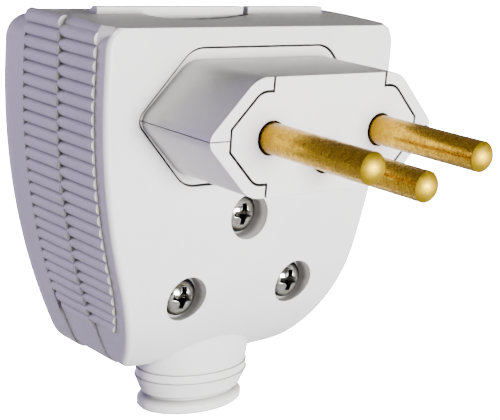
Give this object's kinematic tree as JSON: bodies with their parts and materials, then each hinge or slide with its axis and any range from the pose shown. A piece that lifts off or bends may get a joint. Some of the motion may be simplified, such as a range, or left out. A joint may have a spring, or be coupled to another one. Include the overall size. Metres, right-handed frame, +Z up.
{
  "type": "grounded plug",
  "caption": "Rewirable grounded plug with round brass pins on a six-sided nose, a ribbed two-part casing and an oval cord collar at right angles to the pins.",
  "frame": {"origin": "centre of the nose's front face, on the line between the two outer pins", "axes": "+X along the line between the outer pins, -Y out along the pins, +Z up and away from the cord collar"},
  "size_m": [0.0516, 0.0605, 0.0587],
  "materials": {
    "casing_plastic": "fine satin",
    "nose_plastic": "fine satin",
    "pin_brass": "turned, bare",
    "plated_steel": "zinc plated",
    "clamp_plastic": "plain"
  },
  "bodies": {
    "root": {"front_shell": "casing_plastic", "rear_shell": "casing_plastic", "nose_upper_half": "nose_plastic", "nose_lower_half": "nose_plastic", "pin_plate": "nose_plastic", "line_pin": "pin_brass", "neutral_pin": "pin_brass", "earth_pin": "pin_brass", "casing_screw_upper": "plated_steel", "casing_screw_lower_left": "plated_steel", "casing_screw_lower_right": "plated_steel", "line_terminal_screw": "plated_steel", "neutral_terminal_screw": "plated_steel", "earth_terminal_screw": "plated_steel", "clamp_screw_left": "plated_steel", "clamp_screw_right": "plated_steel", "cord_clamp": "clamp_plastic"}
  },
  "joints": []
}
